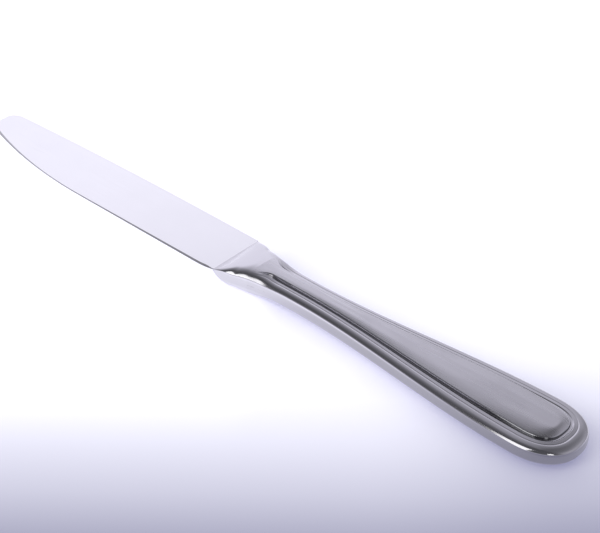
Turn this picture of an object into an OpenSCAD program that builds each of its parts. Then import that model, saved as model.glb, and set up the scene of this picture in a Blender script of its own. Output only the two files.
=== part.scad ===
// Dessert knife: a forged blade with bolster and tang, cemented into a hollow handle of two stamped half shells.
// The knife lies on its side. +X runs from the tip to the butt, the cutting edge faces -Y and +Z is up.
// Sizes are in millimetres. The origin is under the middle of the knife, on the surface that it lies on.

/* [Knife] */
// Length from the tip of the blade to the butt of the handle
knife_l = 210; // [200:1:220]
// Thickness of the handle and the bolster, which is the height of the knife lying on its side
handle_t = 8.2; // [7.6:0.1:9]

/* [Blade] */
// Length of the ground faces, from the tip to the crease where the bolster begins
blade_l = 104.2; // [98:0.1:110]
// Greatest distance of the spine from the axis of the knife
spine_y = 9.3; // [8.8:0.1:9.6]
// Distance of the straight cutting edge from the axis of the knife
edge_y = 7.7; // [7.2:0.1:8.2]
// Drop of the gently arched spine at the tip
spine_drop = 1.1; // [0.4:0.1:1.6]
// Distance of the top of that arch in front of the crease
spine_top_l = 35; // [25:1:45]
// Radius of the rounded tip
tip_r = 5; // [4.4:0.1:5.6]
// Length of the tip end over which the cutting edge curves up
belly_l = 51; // [40:1:62]
// Thickness at the spine, at the crease
spine_t = 2.2; // [1.8:0.1:2.6]
// Thickness above the bevel of the cutting edge, at the crease
edge_t = 0.8; // [0.7:0.05:1]
// Loss of thickness from the crease to the tip
taper_t = 0.5; // [0.2:0.05:0.6]
// Width of the bevel of the cutting edge, at the crease
bevel_w = 0.6; // [0.4:0.05:0.9]
// Thickness of the cutting edge itself
keen_t = 0.3; // [0.2:0.05:0.35]

/* [Bolster] */
// Length of the bolster, from the crease to the mouth of the handle
bolster_l = 10.8; // [9:0.1:12]
// Width of the bolster where it bulges, half-way along
bolster_w = 15.8; // [14.6:0.1:16.4]
// Width of the bolster and the handle at the joint between them
mouth_w = 12.8; // [12:0.1:13.6]
// Squareness of the rounded bolster section at the joint
bolster_n = 3.3; // [2.6:0.1:4]

/* [Tang] */
// Length of the tang inside the handle
tang_l = 48; // [36:1:60]
// Width of the tang at its root
tang_w = 5.4; // [4.6:0.1:6]
// Width of the tang at its end
tang_end_w = 3.8; // [3:0.1:4.4]
// Thickness of the tang
tang_t = 3; // [2.4:0.1:3.2]
// Radius of the keying notches filed into both sides of the tang
notch_r = 1; // [0.6:0.1:1.2]
// Number of notches along each side
notch_count = 4; // [2:1:5]

/* [Handle] */
// Width of the handle at its neck
neck_w = 9.9; // [9.4:0.1:10.8]
// Distance of the neck behind the mouth
neck_l = 15.5; // [13:0.5:18]
// Length of the flare from the neck to the mouth
flare_l = 12.9; // [10:0.1:15]
// Greatest width of the handle
butt_w = 19.5; // [18.8:0.1:21]
// Distance of the widest place in front of the butt
butt_l = 12.4; // [11:0.1:15]
// Squareness of the butt seen from above
butt_n = 2.25; // [2.1:0.05:2.5]
// Thickness of the stamped sheet
wall = 0.8; // [0.6:0.05:0.9]

/* [Border] */
// Width of the border at the neck, from the rim to the groove round the panel
neck_border = 2.85; // [2.6:0.05:3.1]
// Width of the border at the widest place
side_border = 3.3; // [3:0.05:3.6]
// Width of the border at the butt
end_border = 4.4; // [3.8:0.1:5]
// Width of the panel between the grooves at the mouth
mouth_panel_w = 8.2; // [7.4:0.1:8.8]
// Length over which the panel narrows behind the mouth
panel_flare_l = 5; // [4:0.5:7]
// Squareness of the panel's end seen from above
panel_n = 2.6; // [2.3:0.05:2.9]
// Length over which the threads rise out of the smooth section at the mouth
start_l = 8; // [6:0.5:11]
// Height of the threads above the mid-plane of the handle, at the neck
neck_thread_h = 3; // [2.8:0.05:3.1]
// Height of the threads above the mid-plane, at the butt
butt_thread_h = 2.45; // [2.3:0.05:2.6]
// Rise of the inner thread towards the panel
thread_rise = 0.05; // [0:0.01:0.1]
// Depth of the groove between the threads and the panel
groove_d = 0.1; // [0.06:0.01:0.16]
// Depth of the fine line between the two threads
line_d = 0.08; // [0.05:0.01:0.12]
// Height of the edge of the panel above the mid-plane, at the neck
neck_edge_h = 3.85; // [3.7:0.05:3.95]
// Height of the edge of the panel above the mid-plane, at the butt
butt_edge_h = 2.6; // [2.5:0.05:2.8]
// Length of the butt end over which the edge of the panel falls
edge_fall_l = 45; // [35:1:55]
// Share of the panel's half width that is a flat land along its crest
land_share = 0.3; // [0.22:0.01:0.4]

/* [Solder] */
// Half height of the bead of solder inside the joint of the shells
bead_h = 0.5; // [0.3:0.05:0.7]
// Depth of the bead, inward from the wall
bead_d = 0.45; // [0.3:0.05:0.6]

/* [Hidden] */
$fn = 96;
mid_z = handle_t / 2;
tip_x = -knife_l / 2;
crease_x = tip_x + blade_l;
mouth_x = crease_x + bolster_l;
neck_x = mouth_x + neck_l;
wide_x = knife_l / 2 - butt_l;
// Tip circle, spine arch and belly circle, each tangent to the next
spine_top_x = crease_x - spine_top_l;
tip_c = [tip_x + tip_r, spine_y - spine_drop - tip_r];
belly_x = tip_x + belly_l;
tip_rise = edge_y + tip_c[1];
belly_r = (pow(belly_x - tip_c[0], 2) + tip_rise * tip_rise - tip_r * tip_r) / (2 * (tip_rise - tip_r));
belly_c = [belly_x, belly_r - edge_y];
belly_a = atan2(tip_c[1] - belly_c[1], tip_c[0] - belly_c[0]) + 360;
// Slopes of the ground faces, and of the bevel over them
face_slope = (spine_t - edge_t) / 2 / (spine_y + edge_y);
taper_slope = taper_t / 2 / blade_l;
bevel_slope = (edge_t - keen_t) / 2 / bevel_w + face_slope;
// Stations round the handle: along each flank, round the butt, and all of them
flank_count = 26;
butt_count = 12;
half_count = flank_count + butt_count;
ring_count = 2 * half_count + 1;

// Smooth step from 0 to 1
function ease(t) = let (c = min(max(t, 0), 1)) c * c * (3 - 2 * c);

// Fade from 1 at the mouth to 0 at the distance l behind it
function fade(x, l) = 1 - ease((x - mouth_x) / l);

// Distance of the spine from the axis
function spine(x) = spine_y - spine_drop * pow((x - spine_top_x) / (tip_c[0] - spine_top_x), 2);

// Half thickness of the ground blade near the crease
function face(y) = edge_t / 2 + (y + edge_y) * face_slope;

// Arc of count steps
function arc(c, r, from, to, count) =
    [for (i = [0 : count]) let (a = from + (to - from) * i / count) c + r * [cos(a), sin(a)]];

// Plan of the blade: round tip, belly, straight edge, end inside the bolster, arched spine
blade_plan = concat(
    arc(tip_c, tip_r, 92, belly_a, 20),
    arc(belly_c, belly_r, belly_a + 1, 270, 14),
    [[crease_x, -edge_y], [crease_x + 2, 3 - edge_y], [crease_x + 2, spine(crease_x) - 3]],
    [for (i = [0 : 20]) let (x = crease_x + (tip_c[0] - crease_x) * i / 20) [x, spine(x)]]
);

// Share of the way from the neck to the widest place
function swell(x) = ease((x - neck_x) / (wide_x - neck_x));

// Widening of the flank at the mouth
function flare(x) = (mouth_w - neck_w) / 2 * fade(x, flare_l);

// Outer half width of the handle along its flank
function flank(x) = neck_w / 2 + (butt_w - neck_w) / 2 * swell(x) + flare(x);

// Width of the border along the flank
mouth_border = (mouth_w - mouth_panel_w) / 2;
plain_border = neck_border + flare(mouth_x);
function border(x) =
    neck_border + (side_border - neck_border) * (x - mouth_x) / (wide_x - mouth_x)
    + flare(x) - (plain_border - mouth_border) * fade(x, panel_flare_l);

// Place along the flank of station i, closer together at the mouth
function flank_x(i) = mouth_x + (wide_x - mouth_x) * pow(i / flank_count, 1.5);

// Angle round the butt of station i
function butt_a(i) = 90 * (i - flank_count) / butt_count;

// Plan point of station i on the near half, at the share w of the border inward from the rim
function half_point(i, w) =
    i <= flank_count
    ? let (x = flank_x(i)) [x, flank(x) - w * border(x)]
    : let (
        n = butt_n + (panel_n - butt_n) * min(max(w, 0), 1),
        a = butt_a(i),
        l = butt_l - w * end_border,
        s = butt_w / 2 - w * side_border
    ) [wide_x + l * pow(max(sin(a), 0), 2 / n), s * pow(max(cos(a), 0), 2 / n)];

// Station on the half to which station u of the whole rim belongs, and the side of it
function half_i(u) = u <= half_count ? u : 2 * half_count - u;
function side(u) = u <= half_count ? 1 : -1;

// Plan point of station u of the whole rim
function rim_point(u, w) = let (p = half_point(half_i(u), w)) [p[0], side(u) * p[1]];

// Share of the border that a distance e inward from the rim makes at station u
function share(u, e) = half_i(u) <= flank_count ? e / border(flank_x(half_i(u))) : e / side_border;

// Point on the crest line of the panel that belongs to station u
panel_end_x = wide_x + 0.4 * butt_l;
function crest_x(u) =
    let (i = min(half_i(u), flank_count), x = flank_x(i))
    mouth_x + (x - mouth_x) * (panel_end_x - mouth_x) / (wide_x - mouth_x);

// Height of the edge of the panel, and of the threads, at station u
panel_end = knife_l / 2 - end_border;
function edge_h(u) =
    let (t = ease((rim_point(u, 1)[0] - panel_end + edge_fall_l) / edge_fall_l))
    neck_edge_h + (butt_edge_h - neck_edge_h) * t;
function thread_h(u) = neck_thread_h + (butt_thread_h - neck_thread_h) * swell(rim_point(u, 1)[0]);

// Border of a shell from its rim to its groove: share of the border, share of the threads' height, and drop
crest_w = 0.62;
function roll_h(m) = pow(1 - pow(m, 3), 0.625);
border_rings = concat(
    [for (m = [1, 0.96, 0.86, 0.72, 0.5, 0.25, 0.05]) [crest_w * (1 - m), roll_h(m), 0]],
    [
        [crest_w, 1, line_d],
        [0.65, 1, 0],
        [0.86, 1, -thread_rise],
        [0.93, 1, groove_d],
        [0.98, 1, groove_d],
    ]
);
panel_w = 1.06;

// Height of the smooth section at the mouth, which the bolster ends in, carried along to the plan point p
function joint_h(p) = mid_z * pow(max(1 - pow(abs(p[1]) / flank(p[0]), bolster_n), 0), 1 / bolster_n);

// Height h at the plan point p, run into the smooth section near the mouth
function started(p, h) = h + (joint_h(p) - h) * fade(p[0], start_l);

// Steps over the panel from its edge to its land, as shares of its half width
panel_steps = [0, 0.1, 0.24, 0.42, 1 - land_share];

// Fall of the panel, from 1 on the land to 0 at its edge
function crown(r) = 1 - pow(max(1 - r - land_share, 0) / (1 - land_share), 2);

// Point of the panel at station u, the share r of the way from its edge to its crest, lowered by d
function panel_point(u, r, d) =
    let (p = rim_point(u, panel_w), h = edge_h(u))
    [p[0] + (crest_x(u) - p[0]) * r, p[1] * (1 - r), h + (mid_z - h) * crown(r) - d];

// Rings of points over the outside and the inside of a half shell, from the rim to the land of the panel
outer_rings = concat(
    [for (b = border_rings) [for (u = [0 : ring_count - 1])
        let (p = rim_point(u, b[0])) [p[0], p[1], started(p, thread_h(u) * b[1] - b[2])]]],
    [for (r = panel_steps) [for (u = [0 : ring_count - 1])
        let (p = panel_point(u, r, 0)) [p[0], p[1], started(p, p[2])]]]
);

// Height of the inside under the groove at station u
function inner_h(u) = thread_h(u) - groove_d - wall;

// Inside of the border: distance inward from the wall, share of the way up from the bead of solder, and its height
inner_border = [[0, 0, 0], [0, 0, bead_h], [0.15, 0.5, bead_h], [0.7, 1, bead_h]];

// Share of the way over the panel at which the inside steps up behind the edge of the panel
function step_r(u) = let (p = rim_point(u, panel_w)) wall / norm([p[0] - crest_x(u), p[1]]);

inner_rings = concat(
    [for (b = inner_border) [for (u = [0 : ring_count - 1])
        concat(rim_point(u, share(u, wall + b[0])), [b[2] + (inner_h(u) - b[2]) * b[1]])]],
    [[for (u = [0 : ring_count - 1]) let (p = panel_point(u, step_r(u), wall)) [p[0], p[1], inner_h(u)]]],
    [[for (u = [0 : ring_count - 1]) panel_point(u, step_r(u) + 0.06, wall)]],
    [[for (u = [0 : ring_count - 1]) panel_point(u, 1 - land_share, wall)]]
);

// Crest line at the height h
function crest_line(h) = [for (i = [0 : flank_count]) [crest_x(i), 0, h]];

// Rings joined into one list of points, followed by the crest line
function ring_points(rings, h) = concat([for (r = rings) each r], crest_line(h));

// Index on the crest line of station u, after count rings that start at the index base
function crest_i(u, count, base) = base + count * ring_count + min(half_i(u), flank_count);

// Triangles between neighbouring rings, and from the last ring to the crest line
function ring_faces(count, base) = concat(
    [for (k = [0 : count - 2], u = [0 : ring_count - 2])
        let (a = base + k * ring_count + u, b = a + ring_count)
        each [[a, a + 1, b + 1], [a, b + 1, b]]],
    [for (u = [0 : ring_count - 2])
        let (a = base + (count - 1) * ring_count + u, c = crest_i(u, count, base), d = crest_i(u + 1, count, base))
        each c == d ? [[a, a + 1, c]] : [[a, a + 1, d], [a, d, c]]]
);

// Faces turned inside out
function flipped(faces) = [for (f = faces) [f[2], f[1], f[0]]];

// Point indices down one end of a set of rings at the mouth, from the crest line to the rim
function mouth_column(count, base, u) =
    concat([crest_i(u, count, base)], [for (k = [1 : count]) base + (count - k) * ring_count + u]);

function reversed(list) = [for (i = [1 : len(list)]) list[len(list) - i]];

// Half shell above the mid-plane: outside, inside, rim and the two halves of the mouth
module half_shell() {
    outer_n = len(outer_rings);
    inner_n = len(inner_rings);
    base = outer_n * ring_count + flank_count + 1;
    last = ring_count - 1;
    polyhedron(
        points = concat(ring_points(outer_rings, mid_z), ring_points(inner_rings, mid_z - wall)),
        faces = concat(
            ring_faces(outer_n, 0),
            flipped(ring_faces(inner_n, base)),
            [for (u = [0 : last - 1]) each [[u, base + u, base + u + 1], [u, base + u + 1, u + 1]]],
            [concat(mouth_column(inner_n, base, 0), reversed(mouth_column(outer_n, 0, 0)))],
            [concat(mouth_column(outer_n, 0, last), reversed(mouth_column(inner_n, base, last)))]
        )
    );
}

// Flat plate of the blade between its two ground faces
module ground_plate() {
    intersection() {
        translate([0, 0, -spine_t])
            linear_extrude(height = 2 * spine_t)
                polygon(blade_plan);
        difference() {
            translate([tip_x - 5, -2 * edge_y, -spine_t])
                cube([blade_l + 10, 4 * edge_y, 2 * spine_t]);
            ground_side();
            mirror([0, 0, 1])
                ground_side();
        }
    }
}

// Space above the upper ground face
module ground_side() {
    translate([crease_x, -edge_y, edge_t / 2])
        rotate([atan(face_slope), -atan(taper_slope), 0])
            translate([-blade_l - 20, -20, 0])
                cube([blade_l + 40, 60, 5]);
}

// Outline of the space above the bevel, against the distance inward from the cutting edge
function bevel_outline(sign) = [
    for (p = [[-0.4, keen_t / 2 - 0.4 * bevel_slope], [2, keen_t / 2 + 2 * bevel_slope], [2, 4], [-0.4, 4]])
        [sign * p[0], p[1]]
];

// Space above the bevel, along the straight edge and round the belly
module bevel_side() {
    translate([crease_x - 1, -edge_y, 0])
        rotate([90, 0, -90])
            linear_extrude(height = crease_x - 1 - belly_x)
                polygon(bevel_outline(-1));
    translate([belly_c[0], belly_c[1], 0])
        rotate([0, 0, belly_a])
            rotate_extrude(angle = 270 - belly_a, $fn = 720)
                translate([belly_r, 0])
                    polygon(bevel_outline(-1));
}

// Bolster sections: place along the bolster, half width, centre, half thickness share and squareness
bolster_steps = 12;
bolster_points = 40;
function bolster_point(t, k) =
    let (
        a = 360 * k / bolster_points,
        start_w = (spine(crease_x) + edge_y) / 2 - 0.05,
        start_y = (spine(crease_x) - edge_y) / 2,
        half = start_w + (bolster_w / 2 - start_w) * ease(2.2 * t) - (bolster_w - mouth_w) / 2 * ease(2.6 * t - 1.6),
        n = bolster_n + (12 - bolster_n) * (1 - ease(2 * t)),
        lift = sin(90 * min(max(t / 0.9, 0), 1)),
        y = start_y * (1 - ease(2 * t)) + half * sign(cos(a)) * pow(abs(cos(a)), 2 / n),
        h = face(y) * (0.96 - (t < 0 ? 0.3 : 0)) * (1 - lift) + mid_z * lift
    ) [crease_x + bolster_l * t, y, h * sign(sin(a)) * pow(abs(sin(a)), 2 / n)];

// Bolster: a loft from the flat of the blade to the rounded section at the mouth of the handle
module bolster() {
    sections = concat([-0.1], [for (i = [0 : bolster_steps]) i / bolster_steps]);
    count = len(sections);
    ring = [for (k = [0 : bolster_points - 1]) k];
    polyhedron(
        points = [for (t = sections, k = ring) bolster_point(t, k)],
        faces = concat(
            [for (i = [0 : count - 2], k = ring)
                let (
                    a = i * bolster_points + k,
                    b = i * bolster_points + (k + 1) % bolster_points,
                    c = a + bolster_points,
                    d = b + bolster_points
                )
                each [[a, d, b], [a, c, d]]],
            [ring],
            [[for (k = reversed(ring)) (count - 1) * bolster_points + k]]
        )
    );
}

// Tang: a tapered bar with keying notches along both sides
module tang() {
    difference() {
        translate([0, 0, -tang_t / 2])
            linear_extrude(height = tang_t)
                polygon([
                    [mouth_x - 3, -tang_w / 2], [mouth_x + tang_l, -tang_end_w / 2],
                    [mouth_x + tang_l, tang_end_w / 2], [mouth_x - 3, tang_w / 2]
                ]);
        for (i = [1 : notch_count], s = [-1, 1])
            translate([mouth_x + tang_l * i / (notch_count + 1), s * (tang_w / 2 + notch_r / 4), -tang_t])
                cylinder(r = notch_r, h = 2 * tang_t);
    }
}

// One forging: ground blade, bolster and tang
module blade() {
    color([0.82, 0.82, 0.84])
        translate([0, 0, mid_z]) {
            difference() {
                ground_plate();
                bevel_side();
                mirror([0, 0, 1])
                    bevel_side();
            }
            bolster();
            tang();
        }
}

module upper_shell() {
    color([0.72, 0.72, 0.74])
        translate([0, 0, mid_z])
            half_shell();
}

module lower_shell() {
    color([0.72, 0.72, 0.74])
        translate([0, 0, mid_z])
            mirror([0, 0, 1])
                half_shell();
}

// Bead of solder in the corner inside the joint of the shells
module seam_solder() {
    corner = [[wall, -bead_h], [wall, bead_h], [wall + bead_d, 0]];
    last = ring_count - 1;
    color([0.78, 0.74, 0.6])
        translate([0, 0, mid_z])
            polyhedron(
                points = [for (u = [0 : last], c = corner) concat(rim_point(u, share(u, c[0])), [c[1]])],
                faces = concat(
                    [for (u = [0 : last - 1], k = [0 : 2])
                        let (a = 3 * u + k, b = 3 * u + (k + 1) % 3)
                        each [[a, a + 3, b + 3], [a, b + 3, b]]],
                    [[0, 1, 2], [3 * last + 2, 3 * last + 1, 3 * last]]
                )
            );
}

// Cement that fills the hollow round the tang
module handle_cement() {
    core = [for (u = [0 : ring_count - 1]) concat(rim_point(u, share(u, wall + bead_d)), [0])];
    rings = concat([core], [for (k = [1 : len(inner_rings) - 1]) inner_rings[k]]);
    count = len(rings);
    base = count * ring_count + flank_count + 1;
    last = ring_count - 1;
    top = ring_points(rings, mid_z - wall);
    color([0.62, 0.58, 0.52])
        translate([0, 0, mid_z])
            difference() {
                polyhedron(
                    points = concat(top, [for (p = top) [p[0], p[1], -p[2]]]),
                    faces = concat(
                        ring_faces(count, 0),
                        flipped(ring_faces(count, base)),
                        [concat(
                            mouth_column(count, 0, last),
                            [for (k = [1 : count - 1]) base + k * ring_count + last],
                            mouth_column(count, base, 0),
                            [for (k = [1 : count - 1]) k * ring_count]
                        )]
                    )
                );
                tang();
            }
}

blade();
upper_shell();
lower_shell();
seam_solder();
handle_cement();
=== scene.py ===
"""Dessert knife: a ground blade with its bolster and tang, and a hollow handle of two stamped shells."""

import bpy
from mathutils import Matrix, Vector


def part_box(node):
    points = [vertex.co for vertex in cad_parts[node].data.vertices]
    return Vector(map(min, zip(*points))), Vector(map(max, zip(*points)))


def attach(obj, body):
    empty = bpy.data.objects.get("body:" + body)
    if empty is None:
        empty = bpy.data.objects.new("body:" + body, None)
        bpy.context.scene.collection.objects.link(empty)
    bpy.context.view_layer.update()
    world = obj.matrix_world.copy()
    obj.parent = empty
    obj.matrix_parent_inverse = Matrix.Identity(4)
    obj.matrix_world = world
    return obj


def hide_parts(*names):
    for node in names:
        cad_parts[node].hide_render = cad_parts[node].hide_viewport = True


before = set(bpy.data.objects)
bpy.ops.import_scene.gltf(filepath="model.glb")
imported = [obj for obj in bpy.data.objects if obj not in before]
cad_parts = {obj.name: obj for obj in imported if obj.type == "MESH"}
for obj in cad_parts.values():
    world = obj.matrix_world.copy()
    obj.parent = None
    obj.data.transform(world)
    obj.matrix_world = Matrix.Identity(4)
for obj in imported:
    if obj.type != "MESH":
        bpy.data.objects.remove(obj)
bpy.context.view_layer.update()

import math

import bmesh
import bpy
from bpy.props import FloatProperty, FloatVectorProperty, PointerProperty
from bpy.types import Operator, Panel, PropertyGroup
from mathutils import Vector

bl_info = {
    "name": "Dessert knife",
    "version": (1, 0, 0),
    "blender": (4, 5, 0),
    "location": "View3D > Sidebar > Knife",
    "description": "Models the polished pieces of a dessert knife over its solid frame, and its stage",
    "category": "Mesh",
}

MM = 0.001
BODY = "root"
MERGE_L = 0.001 * MM

# Attribute of the handle's points: 1 on the dulled panel, 0 on the bright threads, -1 in the groove
ZONE = "zone"

# Places that the solid frame gives
TIP_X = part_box("blade")[0].x
MOUTH_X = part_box("upper_shell")[0].x
BUTT_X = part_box("upper_shell")[1].x
TOP_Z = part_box("upper_shell")[1].z
MID_Z = TOP_Z / 2


def length(name, description, millimetres):
    """Length property with its default in millimetres"""
    return FloatProperty(
        name=name,
        description=description,
        default=millimetres * MM,
        min=0.0,
        precision=5,
        subtype="DISTANCE",
        unit="LENGTH",
    )


def share(name, description, default, unit="NONE"):
    """Property for a share or a plain number"""
    return FloatProperty(name=name, description=description, default=default, min=0.0, unit=unit)


def tint(name, description, default):
    """Colour property"""
    return FloatVectorProperty(
        name=name,
        description=description,
        default=default,
        size=3,
        min=0.0,
        soft_max=1.0,
        subtype="COLOR",
    )


class BladeSizes(PropertyGroup):
    """Sizes of the blade, the bolster and the tang"""

    blade_l: length("Blade length", "From the tip to the crease at the bolster", 104.2)
    spine_y: length("Spine", "Greatest distance of the spine from the axis", 9.3)
    edge_y: length("Edge", "Distance of the straight cutting edge from the axis", 8.3)
    heel_l: length("Heel", "Length in front of the crease over which the edge curves in", 6.0)
    heel_rise: length("Heel rise", "Distance that the edge curves in at the heel", 0.6)
    spine_drop: length("Spine drop", "Drop of the arched spine at the tip", 1.1)
    spine_top_l: length("Spine top", "Distance of the top of the arch in front of the crease", 35.0)
    tip_r: length("Tip radius", "Radius of the rounded tip", 5.0)
    belly_l: length("Belly", "Length of the tip end over which the edge curves up", 51.0)
    spine_t: length("Spine thickness", "Thickness at the spine, at the crease", 2.2)
    edge_t: length("Edge thickness", "Thickness above the bevel, at the crease", 0.62)
    taper_t: length("Taper", "Loss of thickness from the crease to the tip", 0.5)
    bevel_w: length("Bevel", "Width of the bevel of the cutting edge, at the crease", 0.6)
    keen_t: length("Keenness", "Thickness of the cutting edge itself", 0.16)
    spine_r: length("Spine rounding", "Rounding of the corners of the spine", 0.14)
    bolster_l: length("Bolster length", "From the crease to the mouth of the handle", 10.8)
    bolster_n: share("Bolster squareness", "Squareness of the bolster section at the joint", 3.3)
    tang_l: length("Tang length", "Length of the tang inside the handle", 48.0)
    tang_w: length("Tang width", "Width of the tang at its root", 5.4)
    tang_end_w: length("Tang end", "Width of the tang at its end", 3.8)
    tang_t: length("Tang thickness", "Thickness of the tang", 3.0)


class HandleSizes(PropertyGroup):
    """Sizes of the handle shells"""

    crest_h: length("Upper crest", "Height of the upper panel and bolster above the mid-plane", 3.5)
    mouth_w: length("Mouth width", "Width at the joint with the bolster", 12.8)
    neck_w: length("Neck width", "Width at the neck", 10.1)
    neck_l: length("Neck place", "Distance of the neck behind the mouth", 15.5)
    flare_l: length("Flare", "Length of the flare at the mouth", 12.9)
    butt_w: length("Butt width", "Greatest width of the handle", 19.8)
    butt_l: length("Butt length", "Distance of the widest place in front of the butt", 12.4)
    butt_n: share("Butt squareness", "Squareness of the butt seen from above", 2.25)
    wall: length("Wall", "Thickness of the stamped sheet", 0.8)
    neck_border: length("Border at the neck", "From the rim to the groove round the panel", 2.9)
    side_border: length("Border at the side", "From the rim to the groove at the widest place", 3.7)
    end_border: length("Border at the butt", "From the rim to the groove at the butt", 4.4)
    mouth_panel_w: length("Panel at the mouth", "Width between the grooves at the mouth", 8.2)
    panel_flare_l: length("Panel flare", "Length of the flare of the panel at the mouth", 5.0)
    panel_n: share("Panel squareness", "Squareness of the panel's end seen from above", 2.6)
    start_l: length("Thread start", "Length over which the threads rise out of the smooth mouth", 8.0)
    neck_thread_h: length("Threads at the neck", "Height above the mid-plane at the neck", 2.55)
    butt_thread_h: length("Threads at the butt", "Height above the mid-plane at the butt", 2.25)
    thread_rise: length("Thread rise", "Rise of the inner thread towards the panel", 0.1)
    groove_d: length("Groove depth", "Depth of the groove between the threads and the panel", 0.06)
    line_d: length("Line depth", "Depth of the fine line between the two threads", 0.07)
    neck_edge_h: length("Panel edge at the neck", "Height of the panel's edge at the neck", 3.38)
    butt_edge_h: length("Panel edge at the butt", "Height of the panel's edge at the butt", 3.03)
    edge_fall_l: length("Edge fall", "Length behind the mouth over which the panel's edge falls", 45.0)
    end_drop: length("End drop", "Further fall of the panel's edge round the butt", 0.4)
    end_drop_l: length("End drop length", "Length over which the panel's edge falls towards the butt", 19.0)
    edge_r: length("Panel edge rounding", "Drop of the rounded edge of the panel", 0.12)
    land_share: share("Land", "Share of the panel's half width that is flat along its crest", 0.3)


class Finishes(PropertyGroup):
    """Colours and polish of the steel"""

    blade_tint: tint("Blade", "Colour of the ground blade", (0.86, 0.855, 0.87))
    handle_tint: tint("Handle", "Colour of the handle", (0.61, 0.6, 0.63))
    bolster_tint: tint("Bolster", "Colour of the bolster", (0.63, 0.62, 0.65))
    # Painted shade: the rim where the shells meet is darkened to stand in for its darker reflection
    rim_shade_tint: tint("Rim", "Colour of the dulled rim", (0.41, 0.405, 0.42))
    # Painted shade: a dark colour in the groove round the butt
    groove_shade_tint: tint("Groove", "Colour of the tarnish in the groove round the butt", (0.17, 0.17, 0.18))
    wear_tint: tint("Wear", "Colour of the worn places", (0.56, 0.55, 0.58))
    solder_tint: tint("Solder", "Colour of the solder", (0.78, 0.74, 0.6))
    cement_tint: tint("Cement", "Colour of the handle cement", (0.62, 0.58, 0.52))
    blade_rough: share("Blade roughness", "Roughness of the blade", 0.13)
    border_rough: share("Border roughness", "Roughness of the threaded border", 0.12)
    panel_rough: share("Panel roughness", "Roughness of the handled panel", 0.26)


class StageLook(PropertyGroup):
    """Floor, light and camera"""

    floor_tint: tint("Floor", "Colour of the floor behind the knife", (0.96, 0.955, 0.96))
    sky_tint: tint("Surround", "Colour of the bright surround", (0.965, 0.95, 1.08))
    dark_tint: tint("Dark surround", "Colour of the dark surround", (0.1, 0.1, 0.11))
    fill_tint: tint("Fill", "Soft light from all round", (0.8, 0.8, 0.81))
    paper_glow: tint("Paper glow", "Brightness that the lit paper adds", (0.1, 0.1, 0.23))
    # Painted light: a glow on the paper round the blade that hides its shadow
    back_glow: share("Back glow", "Brightness that the paper round the blade adds", 0.2)
    sun: share("Key light", "Strength of the soft key light", 0.8)
    box_light: share("Softbox", "Brightness of the softbox in front", 1.5)
    side_light: share("Side light", "Brightness of the surround to the right", 0.4)
    low_light: share("Low light", "Brightness of the surround near the horizon", 0.5)
    lens: share("Lens", "Focal length of the camera", 78.636, "CAMERA")


def clamp(t):
    """Value kept between 0 and 1"""
    return min(max(t, 0.0), 1.0)


def ease(t):
    """Smooth step from 0 to 1"""
    c = clamp(t)
    return c * c * (3.0 - 2.0 * c)


def mix(a, b, t):
    """Value between a and b"""
    return a + (b - a) * t


def square_off(c, n):
    """Cosine or sine of a circle that is squared off to the squareness n"""
    return math.copysign(abs(c) ** (2 / n), c)


def around(centre, radius, turn):
    """Point of a circle at this turn in degrees"""
    a = math.radians(turn)
    return centre.x + radius * math.cos(a), centre.y + radius * math.sin(a)


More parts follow.
